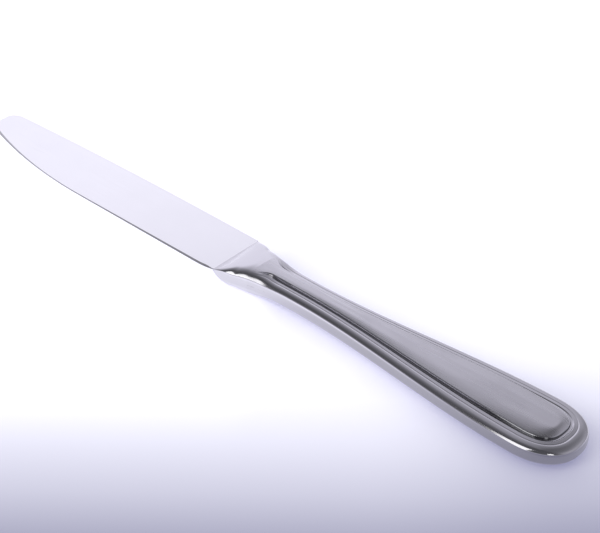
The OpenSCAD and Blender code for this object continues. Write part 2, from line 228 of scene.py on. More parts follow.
class BladeForm:
    """Curves of the blade and the bolster, about the mid-plane of the knife"""

    # Counts of points along the outline
    SPINE_COUNT = 90
    TIP_COUNT = 60
    BELLY_COUNT = 90
    EDGE_COUNT = 60
    # Turns in degrees: the end of the spine, the straight edge, and the start and the growth of the bevel
    SPINE_END = 92.0
    EDGE_TURN = 270.0
    BEVEL_START = 135.0
    BEVEL_GROWTH = 45.0
    # Length in front of the crease over which the bevel runs out
    BEVEL_END_L = 2.5 * MM
    # Root of the plate inside the bolster: its length, and its step in from the outline
    ROOT_L = 2.0 * MM
    ROOT_STEP = 3.0 * MM
    # Loops up to the ground face: shares of the bevel's width, of the corner's width and of its drop
    RIM_LOOPS = ((0.0, 0.0, 1.0), (0.5, 0.3, 0.3), (1.0, 1.0, 0.0))
    # Greatest rounding of the spine's corners, as a share of the half thickness
    CORNER_SHARE = 0.4
    # Bolster: squareness at the crease, how it softens, where its top levels out, first slopes of its sides
    START_N = 12.0
    SOFTENING = 1.5
    SOFTENING_BEND = 0.8
    LIFT_SHARE = 0.9
    EDGE_BULGE = 0.3
    SPINE_BULGE = -0.3
    # Start of the bolster: its step in from the outline, and shares of the plate's thickness
    SET_IN = 0.05 * MM
    CREASE_SHARE = 0.96
    SUNK_SHARE = 0.66

    def __init__(self, sizes, handle):
        self.s = sizes
        self.mouth_w = handle.mouth_w
        self.mouth_slope = (handle.neck_w - handle.mouth_w) / handle.flare_l
        self.upper_h = handle.crest_h
        self.lower_h = MID_Z
        self.crease_x = TIP_X + sizes.blade_l
        self.tip_c = Vector((TIP_X + sizes.tip_r, sizes.spine_y - sizes.spine_drop - sizes.tip_r))
        self.spine_top_x = self.crease_x - sizes.spine_top_l
        self.face_slope = (sizes.spine_t - sizes.edge_t) / 2 / (sizes.spine_y + sizes.edge_y)
        self.taper_slope = sizes.taper_t / 2 / sizes.blade_l
        self.bevel_slope = (sizes.edge_t - sizes.keen_t) / 2 / sizes.bevel_w + self.face_slope
        belly_x = TIP_X + sizes.belly_l
        rise = sizes.edge_y + self.tip_c.y
        reach = belly_x - self.tip_c.x
        self.belly_r = (reach**2 + rise**2 - sizes.tip_r**2) / (2 * (rise - sizes.tip_r))
        self.belly_c = Vector((belly_x, self.belly_r - sizes.edge_y))
        out = self.tip_c - self.belly_c
        self.belly_a = math.degrees(math.atan2(out.y, out.x)) % 360

    def spine(self, x):
        """Distance of the spine from the axis"""
        along = (x - self.spine_top_x) / (self.tip_c.x - self.spine_top_x)
        return self.s.spine_y - self.s.spine_drop * along**2

    def edge(self, x):
        """Distance of the straight cutting edge and its heel from the axis"""
        heel = max(1.0 - (self.crease_x - x) / self.s.heel_l, 0.0)
        return self.s.edge_y - self.s.heel_rise * heel**2

    def face_h(self, x, y):
        """Half thickness of the blade between its ground faces"""
        across = (y + self.s.edge_y) * self.face_slope
        along = (x - self.crease_x) * self.taper_slope
        return self.s.edge_t / 2 + across + along

    def outline(self):
        """Outline of the plate seen from above, as points with their share of the cutting edge's bevel"""
        s = self.s
        points = []
        for i in range(self.SPINE_COUNT):
            x = mix(self.crease_x, self.tip_c.x, i / self.SPINE_COUNT)
            points.append((x, self.spine(x), 0.0))
        for i in range(self.TIP_COUNT):
            turn = mix(self.SPINE_END, self.belly_a, i / self.TIP_COUNT)
            keen = ease((turn - self.BEVEL_START) / self.BEVEL_GROWTH)
            points.append((*around(self.tip_c, s.tip_r, turn), keen))
        for i in range(self.BELLY_COUNT):
            turn = mix(self.belly_a, self.EDGE_TURN, i / self.BELLY_COUNT)
            points.append((*around(self.belly_c, self.belly_r, turn), 1.0))
        for i in range(self.EDGE_COUNT + 1):
            x = mix(self.belly_c.x, self.crease_x, i / self.EDGE_COUNT)
            keen = 1.0 - ease((x - self.crease_x + self.BEVEL_END_L) / self.BEVEL_END_L)
            points.append((x, -self.edge(x), keen))
        root_x = self.crease_x + self.ROOT_L
        points.append((root_x, self.ROOT_STEP - s.edge_y, 0.0))
        points.append((root_x, self.spine(self.crease_x) - self.ROOT_STEP, 0.0))
        return points

    def plate_loops(self):
        """Loops of the upper half of the plate, from its outline on the mid-plane to the ground face"""
        s = self.s
        outline = self.outline()
        total = len(outline)
        loops = [[], [], [], []]
        for i, (x, y, keen) in enumerate(outline):
            before = Vector(outline[i - 1][:2])
            after = Vector(outline[(i + 1) % total][:2])
            along = (after - before).normalized()
            inward = Vector((-along.y, along.x))
            edge_h = self.face_h(x, y)
            fall = inward.x * self.taper_slope + inward.y * self.face_slope
            bevel = (edge_h - s.keen_t / 2) / (self.bevel_slope - fall)
            corner = min(s.spine_r, self.CORNER_SHARE * edge_h)
            loops[0].append(Vector((x, y, 0.0)))
            for loop, (bevel_in, corner_in, corner_drop) in zip(loops[1:], self.RIM_LOOPS):
                depth = mix(corner * corner_in, bevel * bevel_in, keen)
                px = x + inward.x * depth
                py = y + inward.y * depth
                h = self.face_h(px, py)
                if corner_drop > 0:
                    keen_h = s.keen_t / 2 + bevel * bevel_in * self.bevel_slope
                    h = mix(h - corner * corner_drop, keen_h, keen)
                loop.append(Vector((px, py, h)))
        return loops

    def bolster_half(self, t, start_y, slope):
        """Distance of the bolster's side from the axis, running smoothly from the blade into the handle"""
        c = max(t, 0.0)
        run = self.s.bolster_l
        end = self.mouth_w / 2
        bend = c * (1 - c) ** 2 * slope * run - c * c * (1 - c) * self.mouth_slope * run
        return mix(start_y, end, ease(c)) + bend

    def bolster_point(self, t, turn):
        """Point of the bolster at the share t of its length, in the direction turn round the axis"""
        s = self.s
        n = mix(self.START_N, s.bolster_n, ease(self.SOFTENING * t) ** self.SOFTENING_BEND)
        lift = math.sin(math.pi / 2 * clamp(t / self.LIFT_SHARE))
        c = math.cos(turn)
        d = math.sin(turn)
        if c > 0:
            half = self.bolster_half(t, self.spine(self.crease_x) - self.SET_IN, self.SPINE_BULGE)
        else:
            half = self.bolster_half(t, self.edge(self.crease_x) - self.SET_IN, self.EDGE_BULGE)
        y = half * square_off(c, n)
        thin = self.CREASE_SHARE if t >= 0 else self.SUNK_SHARE
        top_h = self.upper_h if d > 0 else self.lower_h
        h = mix(self.face_h(self.crease_x, y) * thin, top_h, lift)
        return Vector((self.crease_x + s.bolster_l * t, y, h * square_off(d, n)))


class HandleForm:
    """Surface of a half shell above the mid-plane of the handle"""

    # Counts of stations round the rim, and of points from the rim to the crest
    FLANK_COUNT = 130
    BUTT_COUNT = 40
    ROLL_COUNT = 22
    BORDER_COUNT = 28
    STEP_COUNT = 6
    PANEL_COUNT = 28
    INNER_COUNT = 6
    # Powers that draw points together at the mouth, at the rim and at the panel's edge
    FLANK_SPACING = 1.4
    ROLL_SPACING = 3
    PANEL_SPACING = 1.6
    # Places across the border, as shares of its width
    ROLL_W = 0.72
    LINE_W = 0.63
    LINE_HALF = 0.04
    GROOVE_START = 0.86
    GROOVE_RUN = 0.07
    GROOVE_END = 1.03
    PANEL_W = 1.06
    # Bend of the rim's roll, end of the crest behind the widest place, and width of the panel's bright edge
    ROLL_BEND = 0.25
    CREST_SHARE = 0.4
    BRIGHT_SHARE = 0.12
    ROUND_L = 0.22 * MM
    # Inside: height of the upright wall at the joint, the two bends above it, and the step into the panel
    SEAM_H = 0.5 * MM
    BEND_IN = 0.15 * MM
    CORNER_IN = 0.7 * MM
    INNER_STEP = 0.06

    def __init__(self, sizes, joint_n, top_h):
        self.s = sizes
        self.joint_n = joint_n
        self.top_h = top_h
        self.neck_x = MOUTH_X + sizes.neck_l
        self.wide_x = BUTT_X - sizes.butt_l
        self.panel_end_x = self.wide_x + self.CREST_SHARE * sizes.butt_l
        self.half_count = self.FLANK_COUNT + self.BUTT_COUNT

    def fade(self, x, reach):
        """Fade from 1 at the mouth to 0 at the distance reach behind it"""
        return 1.0 - ease((x - MOUTH_X) / reach)

    def swell(self, x):
        """Share of the way from the neck to the widest place"""
        return ease((x - self.neck_x) / (self.wide_x - self.neck_x))

    def flare(self, x):
        """Widening of the flank at the mouth"""
        return (self.s.mouth_w - self.s.neck_w) / 2 * max(1.0 - (x - MOUTH_X) / self.s.flare_l, 0.0) ** 2

    def flank(self, x):
        """Outer half width along the flank"""
        return mix(self.s.neck_w, self.s.butt_w, self.swell(x)) / 2 + self.flare(x)

    def border(self, x):
        """Width of the border along the flank"""
        s = self.s
        plain = mix(s.neck_border, s.side_border, self.swell(x))
        surplus = s.neck_border + self.flare(MOUTH_X) - (s.mouth_w - s.mouth_panel_w) / 2
        return plain + self.flare(x) - surplus * self.fade(x, s.panel_flare_l)

    def flank_x(self, i):
        """Place of a station along the flank, closer together at the mouth"""
        along = min(i, self.FLANK_COUNT) / self.FLANK_COUNT
        return mix(MOUTH_X, self.wide_x, along**self.FLANK_SPACING)

    def rim_point(self, i, w):
        """Plan point of station i, the share w of the border inward from the rim"""
        s = self.s
        if i <= self.FLANK_COUNT:
            x = self.flank_x(i)
            return Vector((x, self.flank(x) - w * self.border(x)))
        turn = math.pi / 2 * (i - self.FLANK_COUNT) / self.BUTT_COUNT
        n = mix(s.butt_n, s.panel_n, clamp(w))
        reach = s.butt_l - w * s.end_border
        half = s.butt_w / 2 - w * s.side_border
        across = max(math.cos(turn), 0.0) if i < self.half_count else 0.0
        return Vector((self.wide_x + reach * square_off(math.sin(turn), n), half * square_off(across, n)))

    def inset(self, i, depth):
        """Plan point of station i, a depth inward from the rim"""
        width = self.border(self.flank_x(i)) if i <= self.FLANK_COUNT else self.s.side_border
        return self.rim_point(i, depth / width)

    def crest_x(self, i):
        """Place on the crest line that belongs to station i"""
        along = (self.flank_x(i) - MOUTH_X) / (self.wide_x - MOUTH_X)
        return mix(MOUTH_X, self.panel_end_x, along)

    def edge_h(self, i):
        """Height of the panel's edge at station i"""
        s = self.s
        x = self.rim_point(i, 1.0).x
        drop = s.end_drop * ease((x - self.panel_end_x) / s.end_drop_l + 1.0)
        return mix(s.butt_edge_h, s.neck_edge_h, self.fade(x, s.edge_fall_l)) - drop

    def thread_h(self, i):
        """Height of the threads at station i"""
        return mix(self.s.neck_thread_h, self.s.butt_thread_h, self.swell(self.rim_point(i, 1.0).x))

    def started(self, x, y, h):
        """Height over a plan point, run near the mouth into the smooth section that the bolster ends in"""
        n = self.joint_n
        joint_h = self.top_h * max(1.0 - (abs(y) / self.flank(x)) ** n, 0.0) ** (1.0 / n)
        return mix(h, joint_h, self.fade(x, self.s.start_l))

    def crown(self, r):
        """Fall of the panel, from 1 on its land to 0 at its edge"""
        flat = self.s.land_share
        return 1.0 - (max(1.0 - r - flat, 0.0) / (1.0 - flat)) ** 2

    def panel_point(self, i, r, drop):
        """Point of the panel, the share r of the way from its edge to its crest, lowered by drop"""
        edge = self.rim_point(i, self.PANEL_W)
        x = mix(edge.x, self.crest_x(i), r)
        h = mix(self.edge_h(i), self.top_h, self.crown(r))
        return Vector((x, edge.y * (1.0 - r), h - drop))

    def roll(self, w):
        """Share of the threads' height that the outer thread has reached, rolled over from the rim"""
        return (1.0 - (1.0 - min(w, self.LINE_W) / self.ROLL_W) ** 2) ** self.ROLL_BEND

    def border_h(self, i, w):
        """Height of the outer thread, the fine line, the inner thread and the groove"""
        s = self.s
        off = (w - self.LINE_W) / self.LINE_HALF
        line = math.cos(off * math.pi / 2) ** 2 if abs(off) < 1 else 0.0
        inner = (w - self.LINE_W - self.LINE_HALF) / (self.GROOVE_START - self.LINE_W - self.LINE_HALF)
        rise = s.thread_rise * clamp(inner)
        fall = mix(rise, -s.groove_d, ease((w - self.GROOVE_START) / self.GROOVE_RUN))
        return self.thread_h(i) * self.roll(w) - s.line_d * line + fall

    def outer_points(self, i):
        """Points of the outside at station i from the rim to the crest, each with its zone"""
        s = self.s
        points = []
        line_start = self.LINE_W - self.LINE_HALF
        shares = []
        for k in range(self.ROLL_COUNT):
            shares.append(line_start * (k / self.ROLL_COUNT) ** self.ROLL_SPACING)
        for k in range(self.BORDER_COUNT + 1):
            shares.append(mix(line_start, self.GROOVE_END, k / self.BORDER_COUNT))
        for w in shares:
            p = self.rim_point(i, w)
            points.append((p.x, p.y, self.started(p.x, p.y, self.border_h(i, w)), 0.0))
        floor_h = self.border_h(i, self.GROOVE_END)
        wall_h = self.edge_h(i) - s.edge_r - floor_h
        for k in range(1, self.STEP_COUNT + 1):
            turn = math.pi / 2 * k / (self.STEP_COUNT + 1)
            p = self.rim_point(i, mix(self.GROOVE_END, self.PANEL_W, math.sin(turn)))
            h = floor_h + wall_h * (1 - math.cos(turn))
            points.append((p.x, p.y, self.started(p.x, p.y, h), -1.0))
        edge = self.rim_point(i, self.PANEL_W)
        rounded = self.ROUND_L / math.hypot(edge.x - self.crest_x(i), edge.y)
        for k in range(self.PANEL_COUNT + 1):
            r = (k / self.PANEL_COUNT) ** self.PANEL_SPACING
            drop = s.edge_r * max(1.0 - r / rounded, 0.0) ** 2
            p = self.panel_point(i, r, drop)
            zone = mix(-1.0, ease(r / self.BRIGHT_SHARE), min(r / rounded, 1.0))
            points.append((p.x, p.y, self.started(*p), zone))
        return points

    def inner_points(self, i):
        """Points of the inside at station i from the rim to the crest"""
        s = self.s
        inner_h = self.thread_h(i) - s.groove_d - s.wall
        points = []
        bend_h = (self.SEAM_H + inner_h) / 2
        bends = ((0.0, 0.0), (0.0, self.SEAM_H), (self.BEND_IN, bend_h), (self.CORNER_IN, inner_h))
        for depth, h in bends:
            p = self.inset(i, s.wall + depth)
            points.append((p.x, p.y, h, 0.0))
        edge = self.rim_point(i, self.PANEL_W)
        step = s.wall / math.hypot(edge.x - self.crest_x(i), edge.y)
        p = self.panel_point(i, step, s.wall)
        points.append((p.x, p.y, inner_h, 0.0))
        for k in range(self.INNER_COUNT + 1):
            r = mix(step + self.INNER_STEP, 1.0, k / self.INNER_COUNT)
            points.append((*self.panel_point(i, r, s.wall), 0.0))
        return points

    def columns(self):
        """Columns of points round the rim, each from the outer crest over the rim to the inner crest"""
        half = []
        for i in range(self.half_count + 1):
            half.append(self.outer_points(i)[::-1] + self.inner_points(i))
        other = [[(x, -y, z, zone) for x, y, z, zone in column] for column in half[-2::-1]]
        return half + other


def deselect():
    """Leaves nothing selected, in object mode"""
    if bpy.context.mode != "OBJECT":
        bpy.ops.object.mode_set(mode="OBJECT")
    bpy.ops.object.select_all(action="DESELECT")


def add(operator, name, **settings):
    """Adds an object with nothing else selected, and gives it its name"""
    deselect()
    operator(**settings)
    obj = bpy.context.object
    obj.name = name
    obj.data.name = name
    return obj


def work_on(obj):
    """Makes obj the one active and selected object"""
    deselect()
    obj.select_set(True)
    bpy.context.view_layer.objects.active = obj


def edit_all(obj):
    """Opens obj in edit mode with all of it selected"""
    work_on(obj)
    bpy.ops.object.mode_set(mode="EDIT")
    bpy.ops.mesh.select_mode(type="VERT")
    bpy.ops.mesh.select_all(action="SELECT")


def close_edit():
    """Goes back to object mode"""
    bpy.ops.object.mode_set(mode="OBJECT")


def start_loop(name, points):
    """Adds a circle, lays its corners on the points and leaves it open in edit mode"""
    ring = bpy.ops.mesh.primitive_circle_add
    obj = add(ring, name, vertices=len(points), radius=MM, fill_type="NOTHING")
    edit_all(obj)
    mesh = bmesh.from_edit_mesh(obj.data)
    order = mesh.verts.layers.int.new("order")
    for i, vert in enumerate(mesh.verts):
        vert[order] = i
        vert.co = points[i]
    bmesh.update_edit_mesh(obj.data)
    return obj


def grow_loop(obj, points):
    """Extrudes the open loop and lays the new corners on the points"""
    bpy.ops.mesh.extrude_edges_move()
    mesh = bmesh.from_edit_mesh(obj.data)
    order = mesh.verts.layers.int["order"]
    for vert in mesh.verts:
        if vert.select:
            vert.co = points[vert[order]]
    bmesh.update_edit_mesh(obj.data)


def drop_order(obj):
    """Removes the corner numbers that the loops were grown by"""
    layer = obj.data.attributes.get("order")
    if layer:
        obj.data.attributes.remove(layer)


def apply_modifier(obj, kind, **settings):
    """Adds a modifier with these settings and applies it"""
    work_on(obj)
    modifier = obj.modifiers.new(kind.title(), kind)
    for key, value in settings.items():
        setattr(modifier, key, value)
    bpy.ops.object.modifier_apply(modifier=modifier.name)


def join_solid(obj, other):
    """Joins another solid to obj and removes it"""
    apply_modifier(obj, "BOOLEAN", operation="UNION", solver="EXACT", object=other)
    bpy.data.objects.remove(other)


def point_outwards():
    """Turns all faces of the piece in edit mode outwards, and goes back to object mode"""
    bpy.ops.mesh.select_all(action="SELECT")
    bpy.ops.mesh.normals_make_consistent(inside=False)
    close_edit()


def raise_up(obj):
    """Raises a piece that was modelled about the mid-plane to its place on the table"""
    edit_all(obj)
    bpy.ops.transform.translate(value=(0, 0, MID_Z))
    close_edit()


def give_materials(obj, *materials):
    """Gives obj these materials and no others"""
    obj.data.materials.clear()
    for material in materials:
        obj.data.materials.append(material)


def seat(obj, node_name, sharp):
    """Finishes a piece: its shading, its body, and hides the node that it stands for"""
    work_on(obj)
    bpy.ops.object.shade_smooth_by_angle(angle=math.radians(sharp))
    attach(obj, BODY)
    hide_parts(node_name)


class KNIFE_OT_blade(Operator):
    """Models the ground plate, the bolster and the tang, and joins them into one forging"""

    bl_idname = "knife.blade"
    bl_label = "Blade"

    # Loft of the bolster: its root in the plate as a share of its length, its steps and its points round
    BOLSTER_ROOT = -0.1
    BOLSTER_STEPS = 44
    BOLSTER_POINTS = 144
    # Tang: its root inside the bolster, and the bevel of its edges
    TANG_ROOT_L = 3.0 * MM
    TANG_BEVEL = 0.25 * MM
    # Angle in degrees above which an edge stays sharp
    SHARP = 15.0

    def execute(self, context):
        form = BladeForm(context.scene.knife_blade, context.scene.knife_handle)
        blade = self.plate(form)
        join_solid(blade, self.bolster(form))
        join_solid(blade, self.tang(form))
        raise_up(blade)
        finish = context.scene.knife_finish
        ground = blade_steel(finish)
        polished = handle_steel(finish, "bolster_steel", finish.bolster_tint)
        give_materials(blade, ground, polished)
        for face in blade.data.polygons:
            face.material_index = 1 if face.center.x > form.crease_x else 0
        seat(blade, "blade", self.SHARP)
        return {"FINISHED"}

    def plate(self, form):
        """Plate between the ground faces: the upper half is grown from the outline and mirrored"""
        loops = form.plate_loops()
        obj = start_loop("knife_blade", loops[0])
        for loop in loops[1:]:
            grow_loop(obj, loop)
        bpy.ops.mesh.edge_face_add()
        close_edit()
        drop_order(obj)
        upright = (False, False, True)
        apply_modifier(obj, "MIRROR", use_axis=upright, use_mirror_merge=True, merge_threshold=MERGE_L)
        edit_all(obj)
        point_outwards()
        return obj

    def bolster(self, form):
        """Bolster: a loft from the flat of the blade to the rounded section at the mouth"""
        sections = [self.BOLSTER_ROOT] + [i / self.BOLSTER_STEPS for i in range(self.BOLSTER_STEPS + 1)]
        turns = [2 * math.pi * k / self.BOLSTER_POINTS for k in range(self.BOLSTER_POINTS)]
        obj = start_loop("bolster", [form.bolster_point(sections[0], a) for a in turns])
        bpy.ops.mesh.edge_face_add()
        for t in sections[1:]:
            grow_loop(obj, [form.bolster_point(t, a) for a in turns])
        bpy.ops.mesh.edge_face_add()
        point_outwards()
        drop_order(obj)
        return obj

    def tang(self, form):
        """Tang: a tapered bar with softened edges inside the handle"""
        s = form.s
        obj = add(bpy.ops.mesh.primitive_cube_add, "tang", size=1.0)
        edit_all(obj)
        mesh = bmesh.from_edit_mesh(obj.data)
        for vert in mesh.verts:
            far = vert.co.x > 0
            x = MOUTH_X + s.tang_l if far else MOUTH_X - self.TANG_ROOT_L
            y = math.copysign((s.tang_end_w if far else s.tang_w) / 2, vert.co.y)
            z = math.copysign(s.tang_t / 2, vert.co.z)
            vert.co = (x, y, z)
        bmesh.update_edit_mesh(obj.data)
        bpy.ops.mesh.bevel(offset=self.TANG_BEVEL, segments=2, affect="EDGES")
        close_edit()
        return obj


class KNIFE_OT_shells(Operator):
    """Models the two handle shells, the lower one deeper and turned over"""

    bl_idname = "knife.shells"
    bl_label = "Handle shells"

    # Angle in degrees above which an edge stays sharp
    SHARP = 35.0

    def execute(self, context):
        sizes = context.scene.knife_handle
        joint_n = context.scene.knife_blade.bolster_n
        finish = context.scene.knife_finish
        steel = handle_steel(finish, "handle_steel", finish.handle_tint)
        for name, node_name, top_h, side in (
            ("handle_shell_upper", "upper_shell", sizes.crest_h, 1),
            ("handle_shell_lower", "lower_shell", MID_Z, -1),
        ):
            obj = self.half(HandleForm(sizes, joint_n, top_h), name, side)
            raise_up(obj)
            give_materials(obj, steel)
            seat(obj, node_name, self.SHARP)
        return {"FINISHED"}

    def half(self, form, name, side):
        """Half shell on one side of the mid-plane: a grid wrapped over the outside, rim and inside"""
        columns = form.columns()
        wide = len(columns)
        tall = len(columns[0])
        grid = bpy.ops.mesh.primitive_grid_add
        obj = add(grid, name, x_subdivisions=wide - 1, y_subdivisions=tall - 1, size=1.0)
        zones = obj.data.attributes.new(ZONE, "FLOAT", "POINT")
        for vert in obj.data.vertices:
            i = round((vert.co.x + 0.5) * (wide - 1))
            j = round((vert.co.y + 0.5) * (tall - 1))
            x, y, z, zone = columns[i][j]
            zones.data[vert.index].value = zone
            vert.co = (x, y, side * z)
        edit_all(obj)
        bpy.ops.mesh.remove_doubles(threshold=MERGE_L)
        bpy.ops.mesh.select_all(action="DESELECT")
        bpy.ops.mesh.select_non_manifold(extend=False)
        bpy.ops.mesh.edge_face_add()
        point_outwards()
        return obj


def new_material(name):
    """New material, its node tree, and its shader, which is linked to the output"""
    material = bpy.data.materials.new(name)
    material.use_nodes = True
    tree = material.node_tree
    tree.nodes.clear()
    shader = tree.nodes.new("ShaderNodeBsdfPrincipled")
    output = tree.nodes.new("ShaderNodeOutputMaterial")
    output.location = (300, 0)
    tree.links.new(shader.outputs["BSDF"], output.inputs["Surface"])
    return material, tree, shader


def node(tree, kind, inputs=None, **settings):
    """Adds a node, sets its properties and links or sets its inputs"""
    made = tree.nodes.new(kind)
    for key, value in settings.items():
        setattr(made, key, value)
    for key, value in (inputs or {}).items():
        if isinstance(value, bpy.types.NodeSocket):
            tree.links.new(value, made.inputs[key])
        else:
            made.inputs[key].default_value = value
    return made


def object_place(tree):
    """Place in the object's own coordinates"""
    return node(tree, "ShaderNodeTexCoord").outputs["Object"]


def noise(tree, stretch, scale, detail, turn=0.0):
    """Noise between 0 and 1, stretched, and turned by degrees about the upright axis"""
    turns = (0.0, 0.0, math.radians(turn))
    laid = {"Vector": object_place(tree), "Scale": stretch, "Rotation": turns}
    vector = node(tree, "ShaderNodeMapping", laid).outputs["Vector"]
    made = node(tree, "ShaderNodeTexNoise", {"Vector": vector, "Scale": scale, "Detail": detail})
    return made.outputs["Fac"]


def map_range(tree, value, low, high, to_low, to_high, **settings):
    """Maps a range of a value to another range"""
    ends = {"From Min": low, "From Max": high, "To Min": to_low, "To Max": to_high}
    return node(tree, "ShaderNodeMapRange", {"Value": value, **ends}, **settings).outputs["Result"]


def spread(tree, value, low, high, to_low=0.0, to_high=1.0):
    """Maps a range of a value to another range, smoothly"""
    return map_range(tree, value, low, high, to_low, to_high, interpolation_type="SMOOTHSTEP")


def ramp(tree, value, low, stops):
    """Curve through the stops, read at a value that starts from low"""
    top = stops[-1][0]
    made = node(tree, "ShaderNodeValToRGB", {"Fac": map_range(tree, value, low, top, 0.0, 1.0)})
    elements = made.color_ramp.elements
    while len(elements) < len(stops):
        elements.new(0.5)
    for element, (at, level) in zip(elements, stops):
        element.position = (at - low) / (top - low)
        element.color = (level, level, level, 1.0)
    return made.outputs["Color"]


def math_node(tree, operation, a, b=0.0):
    """Sum, product or the like of two values"""
    return node(tree, "ShaderNodeMath", {0: a, 1: b}, operation=operation).outputs["Value"]


def times(tree, a, b):
    """Product of two values"""
    return math_node(tree, "MULTIPLY", a, b)


def along_way(tree, vector, way):
    """How far a vector reaches along a direction"""
    made = node(tree, "ShaderNodeVectorMath", {0: vector, 1: way}, operation="DOT_PRODUCT")
    return made.outputs["Value"]


def brighter(tree, colour, more):
    """Sum of two colours"""
    return node(tree, "ShaderNodeVectorMath", {0: colour, 1: more}, operation="ADD").outputs["Vector"]


def dimmed(tree, colour, level):
    """Colour times a level"""
    made = node(tree, "ShaderNodeVectorMath", {0: colour, "Scale": level}, operation="SCALE")
    return made.outputs["Vector"]


def opaque(colour):
    """Colour with its opacity, as colour sockets take it"""
    return (*colour, 1.0)


def blend_colour(tree, fac, a, b):
    """Colour between a and b, made on the colour sockets of a mix node"""
    return node(tree, "ShaderNodeMix", {0: fac, 6: a, 7: b}, data_type="RGBA").outputs[2]


def finish_shader(tree, shader, colour, rough, height, strength, depth, metallic):
    """Gives a shader its colour, roughness, bumps and metal"""
    bump = node(tree, "ShaderNodeBump", {"Height": height, "Strength": strength, "Distance": depth})
    tree.links.new(colour, shader.inputs["Base Color"])
    tree.links.new(rough, shader.inputs["Roughness"])
    tree.links.new(bump.outputs["Normal"], shader.inputs["Normal"])
    shader.inputs["Metallic"].default_value = metallic


# Stretch of clouds, grain and scratches along the length, the width and the height of a piece
EVEN = (1.0, 1.0, 1.0)
HANDLE_CLOUD = (0.5, 1.0, 1.0)
BLADE_GRAIN = (30.0, 5200.0, 900.0)
HANDLE_GRAIN = (60.0, 2400.0, 700.0)
SCRATCH_GRAIN = (60.0, 2600.0, 900.0)
# Painted shade on the rim, a darker colour that stands in for its darker reflection: heights from the
# mid-plane between which it fades, its length to full strength, and its start
RIM_FADE = (0.9 * MM, 1.5 * MM)
RIM_L = 45.0 * MM
RIM_START = 0.3
# Painted shade in the groove round the butt: distances from the butt between which it grows, and the zones
# that hold it
GROOVE_SHADE_GROWTH = (28.0 * MM, 18.0 * MM)
GROOVE_SHADE_ZONES = (-0.9, -0.2)
# Soft edge of the scratches, and the roughness that they add
SCRATCH_EDGE = 0.05
SCRATCH_ROUGH = 0.05


def scratches(tree, turn, density):
    """Fine straight scratches in one direction, 1 on a scratch"""
    streaks = noise(tree, SCRATCH_GRAIN, 1.0, 1.0, turn)
    return spread(tree, streaks, density, density + SCRATCH_EDGE)


def blade_steel(finish):
    """Polished blade: a fine lengthwise grain under a soft gloss"""
    material, tree, shader = new_material("blade_steel")
    grain = noise(tree, BLADE_GRAIN, 1.0, 3.0)
    cloud = noise(tree, EVEN, 90.0, 3.0)
    pale = opaque(finish.blade_tint)
    dusky = opaque(0.985 * c for c in finish.blade_tint)
    colour = blend_colour(tree, spread(tree, cloud, 0.35, 0.7), pale, dusky)
    gloss = spread(tree, grain, 0.3, 0.7, finish.blade_rough, finish.blade_rough + 0.05)
    rubbed = times(tree, scratches(tree, 4.0, 0.72), SCRATCH_ROUGH)
    rough = math_node(tree, "ADD", gloss, rubbed)
    finish_shader(tree, shader, colour, rough, grain, strength=0.03, depth=0.03 * MM, metallic=1.0)
    return material


def rim_shade_share(tree, place):
    """1 where painted shade darkens the rim where the two shells meet, less towards the mouth"""
    off = math_node(tree, "ABSOLUTE", math_node(tree, "SUBTRACT", place["Z"], MID_Z))
    near = spread(tree, off, *RIM_FADE, 1.0, 0.0)
    return times(tree, near, spread(tree, place["X"], MOUTH_X, MOUTH_X + RIM_L, RIM_START, 1.0))


def groove_shade_share(tree, place, zone):
    """1 where painted shade darkens the groove round the butt"""
    groove = spread(tree, zone, *GROOVE_SHADE_ZONES, 1.0, 0.0)
    start, end = GROOVE_SHADE_GROWTH
    return times(tree, groove, spread(tree, place["X"], BUTT_X - start, BUTT_X - end))


def handle_steel(finish, name, plain_tint):
    """Handle steel: bright threads, and a panel that use has dulled with fine scratches, with painted shade
    on the rim and in the groove round the butt
    """
    material, tree, shader = new_material(name)
    zone = node(tree, "ShaderNodeAttribute", attribute_name=ZONE).outputs["Fac"]
    satin = math_node(tree, "MAXIMUM", zone, 0.0)
    place = node(tree, "ShaderNodeSeparateXYZ", {"Vector": object_place(tree)}).outputs
    cloud = noise(tree, HANDLE_CLOUD, 160.0, 4.0)
    grain = noise(tree, HANDLE_GRAIN, 1.0, 3.0)
    marks = math_node(tree, "MAXIMUM", scratches(tree, 7.0, 0.7), scratches(tree, -16.0, 0.73))
    marks = math_node(tree, "MAXIMUM", marks, scratches(tree, 38.0, 0.76))
    dull = spread(tree, cloud, 0.4, 0.72)
    colour = blend_colour(tree, dull, opaque(finish.handle_tint), opaque(finish.wear_tint))
    colour = blend_colour(tree, satin, opaque(plain_tint), colour)
    # Painted shade on the rim near the mid-plane, growing towards the butt
    colour = blend_colour(tree, rim_shade_share(tree, place), colour, opaque(finish.rim_shade_tint))
    # Painted shade in the groove round the butt
    colour = blend_colour(tree, groove_shade_share(tree, place, zone), colour, opaque(finish.groove_shade_tint))
    plain = map_range(tree, satin, 0.0, 1.0, finish.border_rough, finish.panel_rough)
    worn = times(tree, spread(tree, grain, 0.3, 0.75, 0.0, 0.07), math_node(tree, "ADD", satin, 0.3))
    rough = math_node(tree, "ADD", plain, worn)
    rough = math_node(tree, "ADD", rough, times(tree, marks, SCRATCH_ROUGH))
    height = math_node(tree, "SUBTRACT", times(tree, grain, 0.5), times(tree, marks, 0.4))
    finish_shader(tree, shader, colour, rough, height, strength=0.05, depth=0.04 * MM, metallic=1.0)
    return material


def inner_material(name, colour, metallic, rough, scale):
    """Mottled finish of a piece inside the handle"""
    material, tree, shader = new_material(name)
    cloud = noise(tree, EVEN, scale, 4.0)
    dark = opaque(0.82 * c for c in colour)
    mottled = blend_colour(tree, spread(tree, cloud, 0.3, 0.7), opaque(colour), dark)
    uneven = spread(tree, cloud, 0.3, 0.7, rough, rough + 0.12)
    finish_shader(tree, shader, mottled, uneven, cloud, strength=0.2, depth=0.1 * MM, metallic=metallic)
    return material


